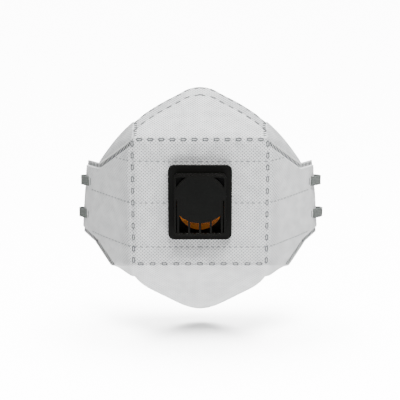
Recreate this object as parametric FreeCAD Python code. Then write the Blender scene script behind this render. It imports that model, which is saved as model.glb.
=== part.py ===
import FreeCAD, Part
import os
from math import acos, asin, atan2, cos, hypot, radians, sin, tan

# A flat-fold dust mask, opened to its cup. +X is the wearer's left-to-right line, -Y is the front,
# +Z is up. The origin is in the plane of the sealing edge, level with the axis of the valve.
# Depths ("depth", "inset") are counted backwards from the front of the centre panel.

V = FreeCAD.Vector

# ---------------------------------------------------------------- driving sizes, mm and degrees
# Centre panel: a flat front and two cheeks that turn back to the wings
cup_depth = 40.0            # front of the centre panel to the plane of the sealing edge
panel_half_width = 43.0     # middle to the upright weld rows
panel_top = 42.0            # valve axis to the nose fold
panel_bottom = -41.0        # valve axis to the chin fold
bend_start = 3.0            # the bend begins this far inside the weld row
bend_radius = 9.0           # outside radius of that bend
cheek_angle = 48.0          # turn of that bend
cheek_radius = 350.0        # gentle curve of the cheek behind it

# Laminate: three webs with a thin air gap between them
outer_web = 0.4
filter_web = 0.9
lining_web = 0.4
web_gap = 0.1

# Side seams and wings, as seen from the front
top_seam_run = 24.4         # weld row to the top notch, across
top_seam_drop = 21.0        # nose fold to the top notch, down
chin_fold_run = 16.5        # weld row to the lower end of the bottom seam, across
chin_fold_drop = 4.0        # how far the chin fold falls over that run
bottom_seam_run = 28.0      # weld row to the bottom notch, across
bottom_seam_rise = 8.2      # chin fold to the bottom notch, up
wing_top_reach = 33.0       # weld row to the wing's top corner
wing_top_height = 21.0
wing_bottom_reach = 37.6    # weld row to the wing's bottom corner
wing_bottom_height = -30.0

# Nose panel
nose_lean = 55.0            # lean back from upright
nose_crease_inset = 1.0     # upright weld row to the crease beside it
nose_crease = 17.0          # fold to the free edge, along the crease
nose_peak = 49.2            # fold to the peak
nose_peak_radius = 16.0
nose_swing = 38.0           # how far it folds further in
nose_gusset_end = 5.0       # width left at the notch

# Chin panel
chin_lean = 40.0
chin_crease = 12.3          # fold to the free edge, along the crease
chin_point = 53.6           # fold to the lowest point
chin_flank = (33.4, 26.2)   # a point of the free edge: across, and down the panel
chin_low_flank = (17.0, 43.8)
chin_swing = 24.0
chin_gusset_end = 4.2
chin_gusset_lean = 72.0     # lean of the gusset beside the cheek
fold_gap = 3.0              # fold line to the swinging panel, so that its inner corner clears
crease_gap = 0.4            # swinging panel to the gusset beside it
seam_gap = 0.45             # gusset to the edge of the centre panel

# Nose clip and nose foam
band_width = 7.5            # free edge to the weld that closes the clip's pocket
clip_width = 5.0
clip_thickness = 0.8
clip_half_length = 36.0
clip_margin = 1.2           # free edge to the clip
foam_width = 11.0
foam_thickness = 3.0
foam_half_length = 38.0
foam_margin = 1.0

# Exhalation valve
flange_side = 3.95          # walls of the cover to the flange's edge, at the sides,
flange_brow = 5.1           # above
flange_foot = 4.3           # and below
flange_corner = 3.8
flange_thickness = 1.2
seat_plate = 1.5
port_drop = 2.7             # valve centre to the centre of the port
port_radius = 11.4
spoke_width = 1.6
seat_ridge = 1.2            # width and height of the sealing ridge
tube_step = 2.6             # port to the bore of the tube behind it
tube_wall = 1.4
ring_width = 4.6
ring_thickness = 1.2
ring_fit = 0.1              # tube to retaining ring
hole_clearance = 0.4        # tube to the hole in the webs
flap_overlap = 1.4          # sealing ridge to the edge of the flap
flap_thickness = 0.6
flap_rest = 0.3             # flap to ridge
flap_swing = 11.0
clamp_width = 18.0
clamp_height = 3.4
clamp_thickness = 1.6
clamp_gap = 0.6             # flap's bending line to the clamp
cover_height = 9.4          # front of the seat plate to the front of the cover
cover_wall = 1.2
cover_play = 1.2            # flap to the walls of the cover
cover_top = 19.8
dome_overlap = 0.6          # dome's radius beyond the cover's half width
dome_centre = 3.8
shoulder_step = 3.0         # dome's front to the shoulders beside it
grille_edge = 10.8          # valve centre down to the lower edge of the dome's plate
grille_edge_radius = 19.6
rib_spacing = 6.9
rib_width = 1.3
rib_depth = 1.4
part_gap = 0.1              # between the valve's stacked pieces

# Straps
strap_width = 6.5
strap_thickness = 0.9
strap_heights = {"upper": 7.0, "lower": -16.0}
slot_inset = 4.5            # rim of the wing to the middle of the slot
slot_play = 0.6             # width of the slot beyond the strap's thickness
slot_end_play = 1.0         # length of the slot beyond the strap's width
loop_slack = 0.35           # strap to the faces of the wing
rim_slack = 1.4             # strap to the rim
strap_end = 70.2            # end of the fixed stub, from the middle
strap_joint_gap = 0.6       # that end to the hanging headband
headband_sag = 40.0

# ---------------------------------------------------------------- derived values
nose_half_width = panel_half_width - nose_crease_inset
chin_half_width = panel_half_width
slot_width = strap_thickness + slot_play
slot_length = strap_width + slot_end_play
flap_radius = port_radius + seat_ridge + flap_overlap
tube_radius = port_radius + tube_step + tube_wall
cover_half_width = flap_radius + cover_play + cover_wall
cover_bottom = -port_drop - cover_half_width
dome_radius = cover_half_width + dome_overlap
flange_width = 2 * (cover_half_width + flange_side)
flange_height = cover_top + flange_brow - cover_bottom + flange_foot
flange_middle = (cover_top + flange_brow + cover_bottom - flange_foot) / 2
laminate = outer_web + filter_web + lining_web + 2 * web_gap
layers = {
    "outer": (0.0, outer_web),
    "filter": (outer_web + web_gap, outer_web + web_gap + filter_web),
    "lining": (laminate - lining_web, laminate),
}
far = 200.0                 # longer than anything here


def at(x, depth, z):
    """A point, given its depth behind the front of the centre panel."""
    return V(x, depth - cup_depth, z)


# ---------------------------------------------------------------- the sheet seen from above
bend_x = panel_half_width - bend_start
bend_end = (bend_x + bend_radius * sin(radians(cheek_angle)),
            bend_radius * (1 - cos(radians(cheek_angle))))


def cheek_turn(x):
    """How far the outer face has turned from the front plane, in radians, at x >= 0."""
    if x <= bend_x:
        return 0.0
    if x <= bend_end[0]:
        return asin((x - bend_x) / bend_radius)
    return asin(sin(radians(cheek_angle)) + (x - bend_end[0]) / cheek_radius)


def sheet_depth(x):
    """Depth of the outer face at x >= 0."""
    turn = cheek_turn(x)
    if x <= bend_end[0]:
        return bend_radius * (1 - cos(turn)) if x > bend_x else 0.0
    return bend_end[1] + cheek_radius * (cos(radians(cheek_angle)) - cos(turn))


def inset_point(turn, inset, side):
    """A point of the plan curve, moved into the cup by inset, at a given turn of the sheet."""
    first = min(turn, radians(cheek_angle))
    x = bend_x + (bend_radius - inset) * sin(first)
    depth = inset + (bend_radius - inset) * (1 - cos(first))
    if turn > first:
        radius = cheek_radius - inset
        x += radius * (sin(turn) - sin(first))
        depth += radius * (cos(first) - cos(turn))
    return V(side * x, depth - cup_depth, 0)


def plan_edges(inset):
    """Edges of one face of the sheet from above, from the left wing to the right one."""
    bend, end = radians(cheek_angle), cheek_turn(panel_half_width + wing_bottom_reach + 2)
    turns = (0.0, bend / 2, bend, (bend + end) / 2, end)
    left, right = ([inset_point(turn, inset, side) for turn in turns] for side in (-1, 1))
    curves = [Part.Arc(left[4], left[3], left[2]), Part.Arc(left[2], left[1], left[0]),
              Part.LineSegment(left[0], right[0]),
              Part.Arc(right[0], right[1], right[2]), Part.Arc(right[2], right[3], right[4])]
    return [curve.toShape() for curve in curves], left[4], right[4]


def bent_wall(inner, outer):
    """The sheet between two insets, as tall as the space."""
    front, front_left, front_right = plan_edges(inner)
    back, back_left, back_right = plan_edges(outer)
    wire = Part.Wire(front + [Part.makeLine(front_right, back_right)] + back[::-1]
                     + [Part.makeLine(back_left, front_left)])
    return Part.Face(wire).extrude(V(0, 0, far)).translate(V(0, 0, -far / 2))


def front_prism(points):
    """What lies behind an outline drawn on the front: (x, z) points."""
    start = [V(x, -far / 2, z) for x, z in points]
    return Part.Face(Part.makePolygon(start + start[:1])).extrude(V(0, far, 0))


def mirrored(points):
    """A right half-outline, from top to bottom, with its left half added."""
    return points + [(-x, z) for x, z in reversed(points)]


half = panel_half_width
upper_seam = [(half, panel_top), (half + top_seam_run, panel_top - top_seam_drop)]
lower_seam = [(half + bottom_seam_run, panel_bottom + bottom_seam_rise),
              (half + chin_fold_run, panel_bottom - chin_fold_drop), (half, panel_bottom)]
wing = [(half + wing_top_reach, wing_top_height), (half + wing_bottom_reach, wing_bottom_height)]


def centre_outline(inset):
    """Outline of the centre panel's web at an inset, its edges square to the sheet."""
    return mirrored([(x - inset * sin(cheek_turn(x)), z) for x, z in upper_seam + wing + lower_seam])


def wing_rim(z):
    """Distance of the wing's rim from the middle, at a height."""
    (x_top, z_top), (x_low, z_low) = wing
    return x_top + (x_low - x_top) * (z_top - z) / (z_top - z_low)


def wing_frame(z, side):
    """Rim point, direction out along the wing, and direction out of its front face."""
    x = wing_rim(z)
    turn = cheek_turn(x)
    rim = at(side * x, sheet_depth(x), z)
    return rim, V(side * cos(turn), sin(turn), 0), V(side * sin(turn), -cos(turn), 0)


def slot_cutter(z, side):
    rim, along, out = wing_frame(z, side)
    middle = rim - along * slot_inset
    corners = [middle + along * (a * slot_width / 2) + out * (b * 2 * laminate) + V(0, 0, -slot_length / 2)
               for a, b in ((-1, -1), (1, -1), (1, 1), (-1, 1))]
    return Part.Face(Part.makePolygon(corners + corners[:1])).extrude(V(0, 0, slot_length))


def valve_cylinder(radius, start, end, z=-port_drop):
    """A round bar along the valve's axis, between two depths."""
    return Part.makeCylinder(radius, end - start, at(0, start, z), V(0, 1, 0))


def centre_layer(name):
    inner, outer = layers[name]
    layer = bent_wall(inner, outer).common(front_prism(centre_outline((inner + outer) / 2)))
    holes = [slot_cutter(z, side) for z in strap_heights.values() for side in (-1, 1)]
    holes.append(valve_cylinder(tube_radius + hole_clearance, -1.0, laminate + 1.0))
    return layer.cut(holes)


# ---------------------------------------------------------------- the panels that fold
class Panel:
    """A flat panel that leans back from a fold line; up is +1 for the nose and -1 for the chin."""

    def __init__(self, fold, lean, up):
        self.fold, self.up = fold, up
        self.down = V(0, sin(radians(lean)), up * cos(radians(lean)))
        self.inward = V(0, cos(radians(lean)), -up * sin(radians(lean)))

    def point(self, x, reach, inset=0.0):
        return at(x, 0, self.fold) + self.down * reach + self.inward * inset

    def solid(self, edges, inset, thickness):
        """A plate from the edges of its outline, drawn at that inset."""
        return Part.Face(Part.Wire(edges)).extrude(self.inward * thickness)


nose = Panel(panel_top, nose_lean, 1)
chin = Panel(panel_bottom, chin_lean, -1)
# angle between a free edge and the middle line, for edges that touch the rounding of the peak
nose_drop = nose_peak - nose_peak_radius - nose_crease
nose_slope = acos(nose_peak_radius / hypot(nose_half_width, nose_drop)) - atan2(nose_drop, nose_half_width)


def nose_plate(margin, inset, thickness):
    """The nose panel with its sloping free edges moved in by margin."""
    shift = margin / sin(nose_slope)
    peak = nose_peak - shift + nose_peak_radius * (1 / sin(nose_slope) - 1)
    side = nose_crease - shift
    centre = peak - nose_peak_radius / sin(nose_slope)
    touch = nose_peak_radius * cos(nose_slope)
    start = fold_gap
    across = nose_half_width
    if side < start:                     # the free edge then meets the base line
        across -= (start - side) * tan(nose_slope)
    outline = [(-across, start), (-across, max(side, start)),
               (-touch, centre + nose_peak_radius * sin(nose_slope))]
    p = [nose.point(x, reach, inset) for x, reach in outline]
    q = [nose.point(-x, reach, inset) for x, reach in outline]
    tip = nose.point(0, centre + nose_peak_radius, inset)
    edges = [Part.makeLine(p[1], p[2]), Part.Arc(p[2], tip, q[2]).toShape(), Part.makeLine(q[2], q[1]),
             Part.makeLine(q[0], p[0])]
    if side > start:
        edges = [Part.makeLine(p[0], p[1])] + edges[:3] + [Part.makeLine(q[1], q[0])] + edges[3:]
    return nose.solid(edges, inset, thickness)


def nose_strip(margin, width, half_length, inset, thickness):
    """A strip along the two free edges of the nose panel."""
    strip = nose_plate(margin, inset, thickness).cut(nose_plate(margin + width, inset, thickness))
    return strip.common(Part.makeBox(2 * half_length, far, far, V(-half_length, -far / 2, 0)))


def nose_layer(name):
    inner, outer = layers[name]
    return nose_plate(band_width if name == "filter" else 0.0, inner, outer - inner)


def chin_layer(name):
    inner, outer = layers[name]
    start = [chin.point(side * chin_half_width, fold_gap, inner) for side in (-1, 1)]
    corner = [chin.point(side * chin_half_width, chin_crease, inner) for side in (-1, 1)]
    flanks = [chin_flank, chin_low_flank]
    left = [chin.point(-x, reach, inner) for x, reach in flanks]
    right = [chin.point(x, reach, inner) for x, reach in reversed(flanks)]
    edge = Part.BSplineCurve()
    edge.interpolate([corner[0]] + left + [chin.point(0, chin_point, inner)] + right + [corner[1]])
    outline = [Part.makeLine(start[0], corner[0]), edge.toShape(), Part.makeLine(corner[1], start[1]),
               Part.makeLine(start[1], start[0])]
    return chin.solid(outline, inner, outer - inner)


# ---------------------------------------------------------------- gussets: the sides of those panels
def seam_height(points, x):
    """Height of a seam at x, from its (x, z) points taken outwards; level inside the first."""
    if x <= points[0][0]:
        return points[0][1]
    for (x0, z0), (x1, z1) in zip(points, points[1:]):
        if x <= x1:
            return z0 + (z1 - z0) * (x - x0) / (x1 - x0)
    return points[-1][1]


def gusset(side, seam, up, start, end, lean, reach):
    """A ruled sheet from a seam to a free edge; lean and reach are functions of 0..1 across it."""
    sections = []
    steps = 8
    for i in range(steps + 1):
        share = i / steps
        x = start + (end - start) * share
        angle = radians(lean(share))
        down, inward = V(0, sin(angle), up * cos(angle)), V(0, cos(angle), -up * sin(angle))
        base = at(side * x, sheet_depth(x), seam_height(seam, x))
        corners = [base, base + down * reach(share), base + down * reach(share) + inward * laminate,
                   base + inward * laminate]
        sections.append(Part.makePolygon(corners + corners[:1]))
    sheet = Part.makeLoft(sections, True, True)
    inner_edge = [(0, seam[0][1])] + list(seam) + [(far, seam[-1][1])]
    cut = [(x, z + up * seam_gap) for x, z in inner_edge] + [(far, -up * far), (0, -up * far)]
    return sheet.cut(front_prism([(side * x, z) for x, z in cut]))


def nose_gusset(side):
    start, end = nose_half_width + crease_gap, half + top_seam_run - crease_gap
    fall = nose_crease - nose_gusset_end
    return gusset(side, upper_seam, 1, start, end,
                  lambda s: nose_lean, lambda s: nose_crease - fall * s ** 2.2)


def chin_gusset(side):
    start, end = chin_half_width + crease_gap, half + bottom_seam_run - crease_gap
    turn_share = chin_fold_run / (end - start)
    fall = chin_crease - chin_gusset_end

    def lean(s):
        t = min(1.0, s / turn_share)
        return chin_lean + (chin_gusset_lean - chin_lean) * t * t * (3 - 2 * t)

    return gusset(side, lower_seam[::-1], -1, start, end, lean, lambda s: chin_crease - fall * s)


# ---------------------------------------------------------------- exhalation valve, front to back
seat_back = -part_gap
seat_front = seat_back - seat_plate
ridge_front = seat_front - seat_ridge
cover_back = seat_front - part_gap
cover_front = seat_front - cover_height
flap_back = ridge_front - flap_rest
flap_front = flap_back - flap_thickness
flap_hinge = flap_radius - port_drop - 1.2      # height of the line where the flap bends
clamp_low = flap_hinge + clamp_gap


def rounded_plate(width, height, corner, start, end, z=0.0):
    """An upright plate with round corners, between two depths."""
    box = Part.makeBox(width, end - start, height, at(-width / 2, start, z - height / 2))
    corners = [e for e in box.Edges if abs(e.tangentAt(e.FirstParameter).y) > 0.99]
    return box.makeFillet(corner, corners)


def upright_bar(x, width, start, end, low, high):
    return Part.makeBox(width, end - start, high - low, at(x - width / 2, start, low))


def valve_seat():
    plate = rounded_plate(flange_width, flange_height, flange_corner, seat_front, seat_back, flange_middle)
    plate = plate.cut(valve_cylinder(port_radius, seat_front - 1, seat_back + 1))
    ridge = valve_cylinder(port_radius + seat_ridge, ridge_front, seat_front).cut(
        valve_cylinder(port_radius, ridge_front - 1, seat_front + 1))
    tube_end = laminate + part_gap + ring_thickness + part_gap
    tube = valve_cylinder(tube_radius, seat_back, tube_end).cut(
        valve_cylinder(tube_radius - tube_wall, seat_back - 1, tube_end + 1))
    bars = [upright_bar(0, spoke_width, ridge_front, seat_back, -port_drop - port_radius - 0.4,
                        -port_drop + port_radius + 0.4),
            upright_bar(0, 2 * (port_radius + 0.4), ridge_front, seat_back, -port_drop - spoke_width / 2,
                        -port_drop + spoke_width / 2)]
    ledge = upright_bar(0, clamp_width, ridge_front, seat_front, clamp_low, clamp_low + clamp_height)
    return plate.fuse([ridge, tube, ledge] + bars).removeSplitter()


def valve_retaining_ring():
    start = laminate + part_gap
    inner = tube_radius + ring_fit
    return valve_cylinder(inner + ring_width, start, start + ring_thickness).cut(
        valve_cylinder(inner, start - 1, start + ring_thickness + 1))


def valve_flap():
    disc = valve_cylinder(flap_radius, flap_front, flap_back)
    return disc.common(Part.makeBox(far, far, far, V(-far / 2, -far, flap_hinge - far)))


def valve_flap_clamp():
    return upright_bar(0, clamp_width, ridge_front - part_gap - clamp_thickness, ridge_front - part_gap,
                       clamp_low, clamp_low + clamp_height)


def valve_cover():
    width, height = 2 * cover_half_width, cover_top - cover_bottom
    middle = (cover_top + cover_bottom) / 2
    flange = rounded_plate(flange_width, flange_height, flange_corner,
                           cover_back - flange_thickness, cover_back, flange_middle)
    inner_width, inner_height = width - 2 * cover_wall, height - 2 * cover_wall
    well = rounded_plate(inner_width, inner_height, 1.5, cover_front - 1, cover_back + 1, middle)
    walls = rounded_plate(width, height, 2.0, cover_front, cover_back, middle)
    shell = flange.fuse(walls).cut(well)
    skin = cover_front + cover_wall
    inside = rounded_plate(inner_width + 0.4, inner_height + 0.4, 1.5, cover_front, cover_back, middle)
    dome = valve_cylinder(dome_radius, cover_front, skin, dome_centre)
    dome_edge = valve_cylinder(dome_radius, cover_front, skin + shoulder_step, dome_centre).cut(
        valve_cylinder(dome_radius - cover_wall, cover_front - 1, skin + shoulder_step + 1, dome_centre))
    shoulders = upright_bar(0, width, cover_front + shoulder_step, skin + shoulder_step,
                            dome_centre, cover_top)
    shoulders = shoulders.cut(valve_cylinder(dome_radius - cover_wall, cover_front, 0, dome_centre))
    upper = Part.makeBox(far, far, far, V(-far / 2, -far, dome_centre))
    skirt = upright_bar(0, 4 * rib_spacing + rib_width, cover_front, skin, -grille_edge, dome_centre)
    above_edge = valve_cylinder(grille_edge_radius, cover_front - 1, 0, grille_edge_radius - grille_edge)
    plate = dome.common(upper).fuse(skirt.common(above_edge))
    edge = dome_edge.common(upper)
    ribs = [upright_bar(i * rib_spacing, rib_width, cover_front, cover_front + rib_depth,
                        cover_bottom + cover_wall / 2, 0) for i in range(-2, 3)]
    grille = plate.fuse([edge, shoulders] + ribs).common(inside)
    return shell.fuse(grille).removeSplitter()


# ---------------------------------------------------------------- straps
def loop_outline(z, side, grow):
    """Outline of the loop's hole round the rim, or with grow its outside."""
    rim, along, out = wing_frame(z, side)
    low, high = -slot_inset + strap_thickness / 2 - grow, rim_slack + grow
    back, front = -laminate - loop_slack - grow, loop_slack + grow
    lift = V(0, 0, -strap_width / 2)
    corners = [rim + along * a + out * b + lift
               for a, b in ((low, back), (high, back), (high, front), (low, front))]
    solid = Part.Face(Part.makePolygon(corners + corners[:1])).extrude(V(0, 0, strap_width))
    upright = [e for e in solid.Edges if abs(e.tangentAt(e.FirstParameter).z) > 0.99]
    return solid.makeFillet(0.4 + grow, upright)


def strap_depth(z):
    """Depth of the strap's plane behind the wing, so that its stub runs into the loop's back corner."""
    rim, along, out = wing_frame(z, 1)
    corner = rim + along * (rim_slack + strap_thickness) + out * (-laminate - loop_slack - strap_thickness)
    return corner.y + cup_depth - strap_thickness / 2


def strap_loop(z, side):
    """The strap's end: round the rim, through the slot and back behind the wing."""
    loop = loop_outline(z, side, strap_thickness).cut(loop_outline(z, side, 0.0))
    rim, along, out = wing_frame(z, side)
    corner = rim + along * rim_slack + out * (-laminate - loop_slack)
    length = abs(corner.x) - strap_end
    stub = Part.makeBox(length, strap_thickness, strap_width,
                        at(strap_end, strap_depth(z) - strap_thickness / 2, z - strap_width / 2))
    if side < 0:
        stub = stub.mirror(V(0, 0, 0), V(1, 0, 0))
    return loop.fuse(stub.cut(loop_outline(z, side, 0.0))).removeSplitter()


def headband(z):
    """The free length, hanging in an arc between the two loops."""
    end = strap_end - strap_joint_gap
    edges, ends = [], []
    for side in (1, -1):
        radius = (end ** 2 + headband_sag ** 2) / (2 * headband_sag)
        spread = atan2(end, radius - headband_sag)
        r = radius if side > 0 else radius - strap_thickness
        centre = V(0, strap_depth(z) - cup_depth - strap_width / 2, z - headband_sag + radius)
        p = [centre + V(r * sin(a), 0, -r * cos(a)) for a in (-spread, 0, spread)]
        edges.append(Part.Arc(*p).toShape())
        ends.append((p[0], p[2]))
    wire = Part.Wire([edges[0], Part.makeLine(ends[0][1], ends[1][1]),
                      edges[1], Part.makeLine(ends[1][0], ends[0][0])])
    return Part.Face(wire).extrude(V(0, strap_width, 0))


# ---------------------------------------------------------------- every node
def build():
    nodes = {}
    for name in layers:
        nodes[f"centre_{name}"] = centre_layer(name)
        nodes[f"nose_{name}"] = nose_layer(name)
        nodes[f"chin_{name}"] = chin_layer(name)
    for side, word in ((-1, "left"), (1, "right")):
        nodes[f"{word}_nose_gusset"] = nose_gusset(side)
        nodes[f"{word}_chin_gusset"] = chin_gusset(side)
        for level, z in strap_heights.items():
            nodes[f"{word}_{level}_strap_loop"] = strap_loop(z, side)
    pocket = layers["filter"][0]
    nodes["nose_clip"] = nose_strip(clip_margin, clip_width, clip_half_length, pocket, clip_thickness)
    nodes["nose_foam"] = nose_strip(foam_margin, foam_width, foam_half_length,
                                    laminate + web_gap, foam_thickness)
    nodes["valve_seat"] = valve_seat()
    nodes["valve_cover"] = valve_cover()
    nodes["valve_flap"] = valve_flap()
    nodes["valve_flap_clamp"] = valve_flap_clamp()
    nodes["valve_retaining_ring"] = valve_retaining_ring()
    for level, z in strap_heights.items():
        nodes[f"{level}_headband"] = headband(z)
    return nodes


nodes = build()
os.makedirs("parts", exist_ok=True)
for name, shape in nodes.items():
    solids = shape.Solids
    whole = solids[0] if len(solids) == 1 else Part.makeCompound(solids)
    whole.exportStep(f"parts/{name}.step")
    box = whole.BoundBox
    print(f"{name}: {len(solids)} solid, valid {whole.isValid()}, {whole.Volume:.1f} mm3, "
          f"X {box.XMin:.1f}..{box.XMax:.1f} Y {box.YMin:.1f}..{box.YMax:.1f} "
          f"Z {box.ZMin:.1f}..{box.ZMax:.1f}")
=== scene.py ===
from math import acos, atan2, cos, hypot, pi, radians, sin

import bmesh
import bpy
import numpy as np
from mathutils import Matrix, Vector


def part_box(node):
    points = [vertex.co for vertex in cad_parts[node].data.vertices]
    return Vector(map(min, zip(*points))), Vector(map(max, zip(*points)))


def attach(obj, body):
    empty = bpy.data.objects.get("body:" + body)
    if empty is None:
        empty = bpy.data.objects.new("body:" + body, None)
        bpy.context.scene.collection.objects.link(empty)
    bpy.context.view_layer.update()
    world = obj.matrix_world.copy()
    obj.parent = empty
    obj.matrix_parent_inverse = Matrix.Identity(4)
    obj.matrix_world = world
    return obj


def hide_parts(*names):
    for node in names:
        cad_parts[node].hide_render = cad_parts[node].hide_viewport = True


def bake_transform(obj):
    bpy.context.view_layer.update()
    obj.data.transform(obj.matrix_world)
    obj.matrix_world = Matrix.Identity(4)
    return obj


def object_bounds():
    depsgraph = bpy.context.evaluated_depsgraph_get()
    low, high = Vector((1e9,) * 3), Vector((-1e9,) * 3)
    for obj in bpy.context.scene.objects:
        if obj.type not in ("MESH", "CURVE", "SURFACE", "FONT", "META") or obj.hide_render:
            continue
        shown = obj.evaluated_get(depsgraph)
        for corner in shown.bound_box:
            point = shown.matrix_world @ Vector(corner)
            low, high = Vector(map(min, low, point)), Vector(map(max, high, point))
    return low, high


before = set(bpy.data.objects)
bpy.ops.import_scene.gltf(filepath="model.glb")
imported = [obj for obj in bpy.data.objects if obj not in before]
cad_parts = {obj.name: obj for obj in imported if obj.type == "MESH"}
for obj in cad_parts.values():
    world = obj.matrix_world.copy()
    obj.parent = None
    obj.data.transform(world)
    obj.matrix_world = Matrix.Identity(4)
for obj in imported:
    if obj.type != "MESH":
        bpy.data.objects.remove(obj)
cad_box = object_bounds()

# A flat-fold dust mask, opened to its cup. Sizes are in millimetres unless a name says otherwise, and
# meshes are turned to metres as they are made. "Inset" is a distance behind the outer face of the cloth.
MM = 0.001

# ---------------------------------------------------------------- the cut of the cloth
CUP_DEPTH = 40.0             # front of the centre panel to the plane of the sealing edge
HALF_WIDTH = 43.0            # middle to the upright weld rows
TOP, BOTTOM = 42.0, -41.0    # the nose fold and the chin fold
BEND_X, BEND_RADIUS = 40.0, 9.0
CHEEK_ANGLE, CHEEK_RADIUS = radians(48.0), 350.0
BEND_END_X = BEND_X + BEND_RADIUS * sin(CHEEK_ANGLE)
BEND_END_DEPTH = BEND_RADIUS * (1 - cos(CHEEK_ANGLE))
UPPER_SEAM = [(43.0, 42.0), (67.4, 21.0)]
LOWER_SEAM = [(43.0, -41.0), (59.5, -46.2), (71.0, -34.2)]
WING_TOP, WING_BOTTOM = (76.0, 21.0), (80.6, -30.0)
NOSE_WIDTH, NOSE_CREASE, NOSE_PEAK, NOSE_TIP_RADIUS = 42.0, 17.0, 49.2, 16.0
NOSE_DROP = NOSE_PEAK - NOSE_TIP_RADIUS - NOSE_CREASE
# angle between the nose panel's free edges and the middle line
NOSE_EDGE_SLOPE = acos(NOSE_TIP_RADIUS / hypot(NOSE_WIDTH, NOSE_DROP)) - atan2(NOSE_DROP, NOSE_WIDTH)
NOSE_BOW, NOSE_SHOULDER, NOSE_GUSSET_SWELL, NOSE_GUSSET_END = 1.2, 1.9, 1.0, 0.8
CHIN_CREASE = 13.8
CHIN_EDGE = [(0.0, 53.0), (17.0, 43.8), (33.4, 28.6), (43.0, CHIN_CREASE)]
CHIN_GUSSET_END, CHIN_GUSSET_LEAN = 4.2, radians(72.0)
# height, lean of the panel beyond, up or down, and how far across the fold stays round
NOSE_FOLD = (TOP, radians(55.0), 1, 43.0)
CHIN_FOLD = (BOTTOM, radians(40.0), -1, 59.0)
FOLD_RADIUS = 4.0
FLANGE = 3.2                 # welded margin along the side seams and the wings
TEETH_INSET, TEETH_WIDTH = 2.0, 2.2          # the row of teeth pressed into that margin
BAND = 6.0                   # free edge of the nose panel to the weld that closes the clip's pocket
DENT_DEPTH, VALLEY_DEPTH = 0.20, 0.12        # of a dash, and of the hollow that it lies in
VALLEY_WIDTH = 1.7
SEAM_GRID_RUN = 42.6         # length of a side seam with its wing edge, for the spacing of the grid
LAMINATE = 1.9
# insets of the two faces of each web, as it lies and where the laminate is welded
WEBS = {"outer": (-0.02, 0.45), "filter": (0.5, 1.4), "lining": (1.5, 1.9)}
PINCHED = {"outer": (0.55, 0.80), "filter": (0.82, 1.12), "lining": (1.14, 1.40)}
FINE, COARSE = 0.6, 1.3      # spacing of the grids

# Valve and straps, as far as the cloth meets them
PORT_Z, HOLE_RADIUS = -2.7, 16.4
VALVE_HALF_WIDTH, VALVE_TOP, VALVE_BOTTOM = 20.4, 24.9, -23.4
SLOT_INSET, SLOT_WIDTH, SLOT_LENGTH = 4.5, 1.5, 7.5
STRAP_HEIGHTS = {"upper": 7.0, "lower": -16.0}
STRAP_WIDTH, STRAP_THICKNESS, RIM_SLACK, LOOP_SLACK = 6.5, 0.9, 1.4, 0.35
STRAP_SAG, STRAP_END, STRAP_TWIST_RUN = 40.0, 69.6, 22.0
LEFT_BULGE, RIGHT_BULGE = 0.6, 1.6           # how far the free loops bow to the front

# Marks welded into the cloth
DASH_LENGTH, DASH_WIDTH = 3.8, 1.9
ROW_TOP, ROW_BOTTOM = 41.1, -40.6            # level rows of the welded rectangle
ROW_SPAN = 38.4                              # middle to the last dash of a level row
COLUMN_HIGH, COLUMN_LOW = 38.2, -38.0        # first and last dash of an upright row
DASHES = 12
DOTTED_LINES, DOTTED_END = (27.0, 0.0, -29.0), 72.0
DOTTED_RISE = 0.06                           # how fast these lines rise across the cheeks
STITCH_PITCH = 3.4
SEAM_PITCH = 1.7
BAND_PITCH = 6.6
LINE_POINTS = 60                             # along each line of marks


def smooth(low, high, value):
    t = np.clip((value - low) / (high - low), 0.0, 1.0)
    return t * t * (3 - 2 * t)


def turn_at(across):
    """How far the cloth has turned from the front plane, in radians, at a distance from the middle."""
    bend = np.arcsin(np.clip((across - BEND_X) / BEND_RADIUS, 0, sin(CHEEK_ANGLE)))
    cheek = np.arcsin(np.clip(sin(CHEEK_ANGLE) + (across - BEND_END_X) / CHEEK_RADIUS, 0, 1))
    return np.where(across <= BEND_END_X, bend, cheek)


def turn_of(across):
    return float(turn_at(np.array(across)))


def depth_at(across):
    turn = turn_at(across)
    cheek = BEND_END_DEPTH + CHEEK_RADIUS * (cos(CHEEK_ANGLE) - np.cos(turn))
    return np.where(across <= BEND_END_X, BEND_RADIUS * (1 - np.cos(turn)), cheek)


def length_at(across):
    """Distance along the cloth from the middle, as if it were laid flat."""
    turn = turn_at(across)
    bend = np.minimum(across, BEND_X) + BEND_RADIUS * np.minimum(turn, CHEEK_ANGLE)
    return bend + CHEEK_RADIUS * np.maximum(turn - CHEEK_ANGLE, 0)


def points(x, depth, z):
    return np.stack(np.broadcast_arrays(x, depth - CUP_DEPTH, z), -1)


def past_fold(x, reach, inset, fold, lean=None, base=None):
    """Cloth near a fold: reach is negative on the centre panel and positive on the panel beyond it."""
    height, fold_lean, up, round_to = fold
    lean = fold_lean if lean is None else lean
    across = np.abs(x)
    radius = FOLD_RADIUS * (1 - smooth(round_to - 5, round_to, across)) + 0.01
    tangent = radius * np.tan(lean / 2)
    angle = lean * np.clip((reach + tangent) / (2 * tangent), 0, 1)
    beyond = reach > tangent
    before = reach < -tangent
    rise = np.where(before, reach, np.where(beyond, reach * np.cos(lean), radius * np.sin(angle) - tangent))
    back = np.where(before, 0.0, np.where(beyond, reach * np.sin(lean), radius * (1 - np.cos(angle))))
    turn = np.where(reach < 0, turn_at(across), 0.0)
    base = height if base is None else base
    return points(x - np.sign(x) * inset * np.sin(turn),
                  depth_at(across) + back + inset * np.cos(turn) * np.cos(angle),
                  base + up * (rise - inset * np.sin(angle)))


def seam_height(seam, across):
    return np.interp(across, [x for x, _ in seam], [z for _, z in seam])


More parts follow.
